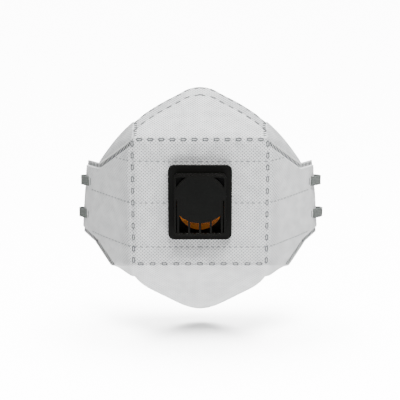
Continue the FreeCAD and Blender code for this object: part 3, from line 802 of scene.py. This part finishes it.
def mark_sizes(pitch, length, width, corner, edge, film_height, edge_finish, film_finish):
    sizes = {"Pitch": pitch, "Length": length, "Width": width, "Corner": corner, "Edge": edge,
             "Film": film_height}
    finishes = {"Edge Finish": edge_finish, "Film Finish": film_finish}
    return {label: size * MM for label, size in sizes.items()} | finishes


tree_of_marks = marks_tree()


def centre_line(x, z, lift):
    """A line along the centre panel; lift is how far it lies in front of the cloth there."""
    x, z = np.broadcast_arrays(x, z)
    dent, _ = rectangle_relief(x, z)
    share = flange_share(x, z)
    relief = centre_relief(x, z) - DENT_DEPTH * dent
    front, _ = pinch("outer", relief, share)
    return on_cloth(on_centre, x, z, front - lift)


def rectangle_lines():
    steps = np.linspace(0, 1, LINE_POINTS)
    lines = [centre_line(ROW_SPAN * (2 * steps - 1), row, 0.0) for row in (ROW_TOP, ROW_BOTTOM)]
    high_low = COLUMN_LOW + (COLUMN_HIGH - COLUMN_LOW) * steps
    return lines + [centre_line(side * HALF_WIDTH, high_low, 0.0) for side in (-1, 1)]


row_pitch = 2 * ROW_SPAN / (DASHES - 1)
# each dash is a light film in a dark edge; the dark edge is painted shadow of the dent's walls
welds = marks("rectangle_weld_marks", rectangle_lines(),
              mark_sizes(row_pitch, DASH_LENGTH - 0.6, DASH_WIDTH - 0.5, 0.6, 0.38, 0.14, dark_weld_and_painted_shadow, film))
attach(welds, "root")


def dotted_lines():
    """Three dotted lines across the front, and on over the cheeks."""
    lines = []
    for height in DOTTED_LINES:
        clear = VALVE_HALF_WIDTH + 2 if abs(height) < VALVE_TOP else 0.0
        for side in (-1, 1):
            for low, high in ((clear + 0.8, HALF_WIDTH - 1.5), (HALF_WIDTH + 2.8, DOTTED_END)):
                across = np.linspace(low, high, LINE_POINTS)
                level = height + DOTTED_RISE * np.maximum(across - HALF_WIDTH, 0)
                inside = (level < seam_height(UPPER_SEAM, across) - FLANGE) | (across < HALF_WIDTH)
                lines.append(centre_line(side * across[inside], level[inside], 0.04))
    return lines


dots = marks("dotted_line_marks", dotted_lines(),
             mark_sizes(STITCH_PITCH, 1.6, 0.40, 0.15, 0.14, 0.10, stitch_film, stitch_film))
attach(dots, "root")


def seam_lines():
    """Just inside the margins of the side seams and along the two edges of each wing."""
    lines = []
    for line, above in ((UPPER_SEAM, 1), ([UPPER_SEAM[1], WING_TOP], 1),
                        (LOWER_SEAM[1:], -1), ([LOWER_SEAM[2], WING_BOTTOM], -1)):
        (x0, z0), (x1, z1) = sorted(line)
        across_run = hypot(x1 - x0, z1 - z0)
        inward = np.array([(z1 - z0), -(x1 - x0)]) / across_run * above
        steps = np.linspace(0, 1, LINE_POINTS)[:, None]
        ends = np.array([x0, z0]) * (1 - steps) + np.array([x1, z1]) * steps + inward * TEETH_INSET
        across, height = ends.T
        run = (across > HALF_WIDTH + 1.2) & (across < wing_rim(height) - 1.0)
        run &= edge_gap(across, height) > TEETH_INSET - 0.1
        for side in (-1, 1):
            lines.append(centre_line(side * across[run], height[run], 0.05))
    return lines


teeth = marks("seam_weld_marks", seam_lines(),
              mark_sizes(SEAM_PITCH, 0.6, TEETH_WIDTH, 0.25, 0.15, 0.12, tooth_film, tooth_film))
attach(teeth, "root")


def slot_lines():
    """A short upright row of stitches just inside each strap slot."""
    lines = []
    for height in STRAP_HEIGHTS.values():
        rim = wing_rim(height)
        across = rim - (SLOT_INSET + 2.6) * cos(turn_of(rim))
        level = np.linspace(height - 1.8, height + 1.8, 9)
        lines += [centre_line(side * across, level, 0.05) for side in (-1, 1)]
    return lines


tacks = marks("slot_tack_marks", slot_lines(),
              mark_sizes(0.9, 0.8, 0.45, 0.15, 0.14, 0.12, dark_weld_and_painted_shadow, dark_weld_and_painted_shadow))
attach(tacks, "root")


def on_nose(x, reach, inset):
    return past_fold(x, reach, inset, NOSE_FOLD)


def nose_line(x, reach):
    """A line along the nose panel, just in front of the cloth."""
    return on_cloth(on_nose, x, reach, WEBS["outer"][0] + nose_relief(x, reach) - 0.05)


def nose_lines():
    """Two lines of dashes along the free edges, which close the pocket of the nose clip."""
    lines = []
    across = np.linspace(1.6, NOSE_WIDTH - 1.0, LINE_POINTS)
    for gap in (0.7, BAND):
        reach = nose_edge(across) - gap / sin(NOSE_EDGE_SLOPE)
        lines += [nose_line(side * across, reach) for side in (-1, 1)]
    return lines


band = marks("nose_band_marks", nose_lines(),
             mark_sizes(BAND_PITCH, 3.9, 0.75, 0.3, 0.16, 0.10, band_film, band_film))
blend_nose(band)


def crease_lines():
    """A row of teeth up each side of the nose panel, where it is creased against its gusset."""
    reach = np.linspace(2.0, NOSE_CREASE - 2.0, 30)
    across = np.full(30, NOSE_WIDTH - 1.0)
    return [nose_line(side * across, reach) for side in (-1, 1)]


creases = marks("nose_crease_marks", crease_lines(),
                mark_sizes(SEAM_PITCH, 0.5, 1.6, 0.2, 0.13, 0.12, tooth_film, tooth_film))
blend_nose(creases)


# ---------------------------------------------------------------- straps
def rounded(corners, radius, steps=6):
    """A broken line in a plane with its corners rounded."""
    corners = [np.array(c, float) for c in corners]
    out = [corners[0]]
    for before, here, after in zip(corners, corners[1:], corners[2:]):
        a, b = before - here, after - here
        reach = min(radius, 0.49 * np.linalg.norm(a), 0.49 * np.linalg.norm(b))
        a, b = here + a / np.linalg.norm(a) * reach, here + b / np.linalg.norm(b) * reach
        for t in np.linspace(0, 1, steps):
            out.append(a * (1 - t) ** 2 + here * 2 * t * (1 - t) + b * t * t)
    return np.array(out + [corners[-1]])


def strap_frames(height, bulge):
    """Middle line of half a strap, from the middle of its arc to its sewn end, with its run and twist."""
    rim_x = wing_rim(height)
    turn = turn_of(rim_x)
    rim = np.array([rim_x, float(depth_at(np.array(rim_x)))])
    along, out = np.array([cos(turn), sin(turn)]), np.array([sin(turn), -cos(turn)])
    half = STRAP_THICKNESS / 2
    back = -LAMINATE - LOOP_SLACK - half
    outer_corner = rim + along * (RIM_SLACK + STRAP_THICKNESS) + out * (back - half)
    plane = outer_corner[1] - half
    # the free loop stands off the rim and bulges to the front
    loop = [(2.0 + 0.4 * bulge, -1.9), (3.4 + bulge, 0.1), (2.5 + 0.6 * bulge, 1.9 + bulge),
            (-SLOT_INSET, 0.9 + 0.5 * bulge), (-SLOT_INSET, back), (0.5, back)]
    plan = rounded([(STRAP_END + 1.0, plane), (outer_corner[0] - 1.4, plane)]
                   + [rim + along * a + out * b for a, b in loop], 0.9)
    loop = np.stack([plan[:, 0], plan[:, 1], np.full(len(plan), height)], -1)
    radius = (STRAP_END ** 2 + STRAP_SAG ** 2) / (2 * STRAP_SAG)
    centre_z, middle = height - STRAP_SAG + radius, radius - half
    join = radians(50)
    swing = np.linspace(0, join, 60)
    arc = np.stack([middle * np.sin(swing), np.full(60, plane), centre_z - middle * np.cos(swing)], -1)
    t = np.linspace(0, 1, 16)[1:-1, None]
    p0, p3 = arc[-1], loop[0]
    p1 = p0 + np.array([cos(join), 0, sin(join)]) * 4.5
    p2 = p3 + np.array([-3.5, 0, 0])
    bend = p0 * (1 - t) ** 3 + p1 * 3 * t * (1 - t) ** 2 + p2 * 3 * t * t * (1 - t) + p3 * t ** 3
    line = np.concatenate([arc, bend, loop])
    run = np.concatenate([[0], np.cumsum(np.linalg.norm(np.diff(line, axis=0), axis=1))])
    twist_end = run[len(arc) + len(bend)]
    twist = smooth(twist_end - STRAP_TWIST_RUN, twist_end + 0.5, run) * pi / 2
    return line, run, twist


def strap_section():
    """Outline of the elastic: flat, with shallow ribs along both faces."""
    across = np.linspace(-STRAP_WIDTH / 2, STRAP_WIDTH / 2, 37)
    swell = STRAP_THICKNESS / 2 - 0.16 * (1 - np.abs(np.sin(np.pi * (across / STRAP_WIDTH + 0.5) * 6)))
    swell = swell - 0.12 * smooth(STRAP_WIDTH / 2 - 0.5, STRAP_WIDTH / 2, np.abs(across))
    return np.concatenate([np.stack([across, swell], -1), np.stack([across, -swell], -1)[::-1]])


def strap(level, height):
    line, run, twist = strap_frames(height, RIGHT_BULGE)
    other_line, other_run, other_twist = strap_frames(height, LEFT_BULGE)
    line = np.concatenate([line[::-1], other_line[1:] * np.array([-1, 1, 1])])
    run = np.concatenate([-run[::-1], other_run[1:]])
    twist = np.concatenate([twist[::-1], -other_twist[1:]])
    tangent = np.gradient(line, axis=0)
    tangent /= np.linalg.norm(tangent, axis=1, keepdims=True)
    # on the arc the width lies along the depth; on the loops it stands upright
    deep = np.array([0.0, 1.0, 0.0])
    upright = np.cross(tangent, deep)
    width = deep * np.cos(twist)[:, None] + upright * np.sin(twist)[:, None]
    in_loop = np.abs(np.abs(twist) - pi / 2) < 1e-6
    width[in_loop] = np.array([0, 0, 1.0]) * np.sign(-twist[in_loop])[:, None]
    width -= tangent * np.einsum("ij,ij->i", width, tangent)[:, None]
    width /= np.linalg.norm(width, axis=1, keepdims=True)
    thick = np.cross(tangent, width)
    section = strap_section()
    verts = (line[:, None] + width[:, None] * section[None, :, :1] + thick[:, None] * section[None, :, 1:])
    rows, cols = verts.shape[:2]
    verts = verts.reshape(-1, 3)
    verts[:, 1] -= CUP_DEPTH
    index = np.arange(rows * cols).reshape(rows, cols)
    following = np.roll(index, -1, axis=1)
    faces = np.stack([index[:-1], following[:-1], following[1:], index[1:]], -1).reshape(-1, 4)
    if signed_volume(verts, faces) < 0:
        faces = faces[:, ::-1]
        caps = [list(index[0]), list(index[-1][::-1])]
    else:
        caps = [list(index[0][::-1]), list(index[-1])]
    uv = np.stack([np.tile(section[:, 0], rows), np.repeat(run, cols)], -1) * MM + 0.2
    piece = make_object(f"{level}_strap_webbing", verts, faces.tolist() + caps, [elastic], None, uv,
                        sharp=60)
    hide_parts(f"{level}_headband", f"left_{level}_strap_loop", f"right_{level}_strap_loop")
    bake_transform(piece)
    return piece


for level, height in STRAP_HEIGHTS.items():
    strap(level, height)


# ---------------------------------------------------------------- nose foam
def foam_pad():
    """The foam strip behind the lining along both free edges, swollen a little by its own spring."""
    margin, width, thickness, half_length = 1.2, 10.4, 2.5, 37.6
    columns = np.linspace(-half_length, half_length, 97)
    v = np.linspace(0, 1, 15)[:, None]
    high = nose_edge(columns) - margin / sin(NOSE_EDGE_SLOPE)
    low = np.maximum(high - width / sin(NOSE_EDGE_SLOPE), 3.2)
    x, reach = np.broadcast_arrays(columns, high + (low - high) * v)
    start = LAMINATE + 0.35
    front, back = (on_nose(x, reach, np.full(x.shape, inset)) for inset in (start, start + thickness))
    pad = web("nose_foam_pad", front, back, np.stack([x, reach], -1), [foam_grey])
    swell(pad, voxel=1.0, cap=0.25)
    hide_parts("nose_foam")
    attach(pad, "nose_panel")
    return pad


def swell(pad, voxel, cap):
    """Cloth simulation of a stuffed piece at ten times its size; no point moves further than the cap."""
    grown = 10.0
    work = stand("swelling", pad.data.copy())
    work.data.transform(((grown, 0, 0, 0), (0, grown, 0, 0), (0, 0, grown, 0), (0, 0, 0, 1)))
    remesh = work.modifiers.new("even", "REMESH")
    remesh.mode, remesh.voxel_size = "VOXEL", voxel * MM * grown
    even = as_made(work)
    work.modifiers.remove(remesh)
    work.data = even
    rest = np.empty(len(even.vertices) * 3, np.float32)
    even.vertices.foreach_get("co", rest)
    cloth = work.modifiers.new("swell", "CLOTH")
    cloth.settings.use_pressure = True
    cloth.settings.uniform_pressure_force = 4.0
    cloth.settings.effector_weights.gravity = 0.0
    cloth.point_cache.frame_start, cloth.point_cache.frame_end = 1, 20
    scene = bpy.context.scene
    for number in range(1, 21):
        scene.frame_set(number)
    result = as_made(work)
    work.modifiers.remove(cloth)
    moved = np.empty(len(result.vertices) * 3, np.float32)
    result.vertices.foreach_get("co", moved)
    shift = (moved - rest).reshape(-1, 3)
    size = np.linalg.norm(shift, axis=1, keepdims=True)
    limit = cap * MM * grown
    shift *= np.minimum(1.0, limit / np.maximum(size, 1e-9))
    result.vertices.foreach_set("co", (rest.reshape(-1, 3) + shift).ravel() / grown)
    scene.frame_set(1)
    bpy.data.objects.remove(work)
    result.materials.clear()
    result.materials.append(foam_grey)
    result.shade_smooth()
    pad.data = result


foam_pad()


# ---------------------------------------------------------------- exhalation valve
def paint(node, material):
    """Give a CAD piece its finish."""
    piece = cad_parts[node]
    piece.data.materials.clear()
    piece.data.materials.append(material)


def cover_moulding():
    """The valve's cover with the small radii that its mould leaves on every edge."""
    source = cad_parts["valve_cover"]
    work = bmesh.new()
    work.from_mesh(source.data)
    bmesh.ops.remove_doubles(work, verts=work.verts, dist=0.002 * MM)
    bmesh.ops.dissolve_limit(work, angle_limit=radians(0.5), verts=work.verts, edges=work.edges)
    bmesh.ops.recalc_face_normals(work, faces=work.faces)
    mesh = bpy.data.meshes.new("valve_cover_moulding")
    work.to_mesh(mesh)
    work.free()
    mesh.materials.clear()
    mesh.materials.append(black_cover)
    mesh.shade_smooth()
    piece = stand("valve_cover_moulding", mesh)
    bevel = piece.modifiers.new("radii", "BEVEL")
    bevel.width, bevel.segments = 0.22 * MM, 2
    bevel.limit_method, bevel.angle_limit = "ANGLE", radians(35)
    piece.modifiers.new("flat_faces", "WEIGHTED_NORMAL")
    rounded_mesh = as_made(piece)
    piece.modifiers.clear()
    piece.data = rounded_mesh
    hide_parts("valve_cover")
    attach(piece, "root")
    return piece


def feet_tree():
    """A row of small saddles, one at the foot of each rib."""
    tree = bpy.data.node_groups.new("feet_of_ribs", "GeometryNodeTree")
    socket = tree.interface.new_socket
    socket("Unused", in_out="INPUT", socket_type="NodeSocketGeometry")
    for label in ("Spacing", "Half Width", "Dip", "Bead"):
        socket(label, in_out="INPUT", socket_type="NodeSocketFloat")
    socket("Start", in_out="INPUT", socket_type="NodeSocketVector")
    socket("Finish", in_out="INPUT", socket_type="NodeSocketMaterial")
    socket("Feet", in_out="OUTPUT", socket_type="NodeSocketGeometry")
    given = add(tree, "NodeGroupInput").outputs
    step = add(tree, "ShaderNodeCombineXYZ", [("X", given["Spacing"])])
    row = add(tree, "GeometryNodeMeshLine", [("Count", 5), ("Start Location", given["Start"]),
                                             ("Offset", step)], mode="OFFSET")
    right = add(tree, "ShaderNodeCombineXYZ", [("X", given["Half Width"])])
    left = add(tree, "ShaderNodeVectorMath", [(0, right), ("Scale", -1.0)], operation="SCALE")
    dip = add(tree, "ShaderNodeCombineXYZ", [("Z", given["Dip"])])
    low = add(tree, "ShaderNodeVectorMath", [(0, dip), ("Scale", -2.0)], operation="SCALE")
    saddle = add(tree, "GeometryNodeCurveQuadraticBezier", [("Resolution", 10), ("Start", left),
                                                            ("Middle", low), ("End", right)])
    bead = add(tree, "GeometryNodeCurvePrimitiveCircle", [("Resolution", 8), ("Radius", given["Bead"])],
               mode="RADIUS")
    foot = add(tree, "GeometryNodeCurveToMesh", [("Curve", saddle), ("Profile Curve", bead),
                                                 ("Fill Caps", True)])
    placed = add(tree, "GeometryNodeInstanceOnPoints", [("Points", row), ("Instance", foot)])
    solid = add(tree, "GeometryNodeRealizeInstances", [(0, placed)])
    done = add(tree, "GeometryNodeSetMaterial", [("Geometry", solid), ("Material", given["Finish"])])
    add(tree, "NodeGroupOutput", [(0, done)])
    return tree


def rib_feet(spacing=6.9, half_width=2.5, dip=0.9, bead=0.36, lift=6.2):
    """The saddles stand on the cover's lower shoulder; lift is their height above its lower edge."""
    low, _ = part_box("valve_cover")
    obj = stand("valve_rib_feet", bpy.data.meshes.new("valve_rib_feet"))
    start = (-2 * spacing * MM, low.y + bead * MM, low.z + lift * MM)
    carry_out(obj, feet_tree(), {"Spacing": spacing * MM, "Half Width": half_width * MM, "Dip": dip * MM,
                                 "Bead": bead * MM, "Start": start, "Finish": black_cover})
    obj.data.shade_smooth()
    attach(obj, "root")


cover_moulding()
rib_feet()
for node, material in (("valve_seat", black_seat), ("valve_flap_clamp", black_seat),
                       ("valve_retaining_ring", black_seat), ("valve_flap", silicone),
                       ("nose_clip", aluminium)):
    paint(node, material)


# ---------------------------------------------------------------- floor, light and camera
def floor(gap=9.0):
    """White paper just below the chin, which rises like a shallow bowl far away, so that it fills the view.
    It lights nothing; the studio's lower half does that."""
    base, flat, far, rise, turns = cad_box[0].z - gap * MM, 1.0, 8.0, 2.6, 48
    radius = np.linspace(flat, far, 14)[:, None]
    angle = np.linspace(0, 2 * pi, turns, endpoint=False)
    height = base + rise * ((radius - flat) / (far - flat)) ** 2
    verts = np.stack(np.broadcast_arrays(radius * np.cos(angle), radius * np.sin(angle), height), -1)
    index = np.arange(verts.shape[0] * turns).reshape(-1, turns)
    after = np.roll(index, -1, axis=1)
    rings = np.stack([index[:-1], index[1:], after[1:], after[:-1]], -1).reshape(-1, 4)
    mesh = bpy.data.meshes.new("studio_floor")
    mesh.from_pydata(verts.reshape(-1, 3).tolist(), [], rings.tolist() + [index[0].tolist()])
    mesh.shade_smooth()
    material, tree, shader = finish("white_paper")
    set_inputs(tree, shader, [("Base Color", linear("#f6f6f6")), ("Roughness", 0.95),
                              ("Specular IOR Level", 0.0)])
    mesh.materials.append(material)
    obj = stand("studio_floor", mesh)
    obj.visible_diffuse = obj.visible_glossy = obj.visible_shadow = False
    return obj


def softbox(name, place, aim, size, power):
    data = bpy.data.lights.new(name, "AREA")
    data.shape, data.size, data.energy = "DISK", size, power
    obj = stand(name, data)
    obj.location = place
    obj.rotation_euler = (Vector(aim) - Vector(place)).to_track_quat("-Z", "Y").to_euler()


def floor_lamp(paper):
    """Even light from overhead that falls on the paper alone, so that it stays white round the shadow."""
    data = bpy.data.lights.new("paper_lamp", "SUN")
    data.energy, data.angle = 42.0, radians(62)
    obj = stand("paper_lamp", data)
    obj.rotation_euler = (radians(-6), 0, 0)
    only = bpy.data.collections.new("paper_only")
    only.objects.link(paper)
    obj.light_linking.receiver_collection = only


def studio():
    """A white room, darker at eye level than above and below, with three softboxes."""
    world = bpy.data.worlds.new("studio")
    bpy.context.scene.world = world
    world.use_nodes = True
    tree = world.node_tree
    direction = add(tree, "ShaderNodeTexCoord").outputs["Generated"]
    height = add(tree, "ShaderNodeSeparateXYZ", [(0, direction)]).outputs[2]
    above = add(tree, "ShaderNodeMapRange", [("Value", height), ("To Min", 0.12), ("To Max", 0.8)])
    below = add(tree, "ShaderNodeMapRange", [("Value", height), ("From Min", 0.0), ("From Max", -1.0),
                                             ("To Min", 0.0), ("To Max", 1.9)])
    level = add(tree, "ShaderNodeMath", [(0, above), (1, below)], operation="ADD")
    set_inputs(tree, tree.nodes["Background"], [("Color", (1, 1, 1, 1)), ("Strength", level)])
    softbox("top_softbox", (0.14, -0.33, 1.0), (0, -0.02, 0), 0.7, 32.0)
    softbox("right_softbox", (0.75, -0.75, 0.25), (0, -0.02, 0), 0.5, 1.0)
    softbox("low_softbox", (0.05, -0.4, -0.95), (0, -0.02, -0.04), 1.3, 24.0)


def camera():
    data = bpy.data.cameras.new("camera")
    data.sensor_width, data.lens = 36.0, 91.4
    obj = stand("camera", data)
    elevation, distance = radians(12.0), 650.0
    front = Vector((0, -CUP_DEPTH, 0))
    place = front + Vector((0, -cos(elevation), sin(elevation))) * distance
    aim = front + Vector((0, 0, 1.9))
    obj.location = place * MM
    obj.rotation_euler = (aim - place).to_track_quat("-Z", "Y").to_euler()
    bpy.context.scene.camera = obj


floor_lamp(floor())
studio()
camera()
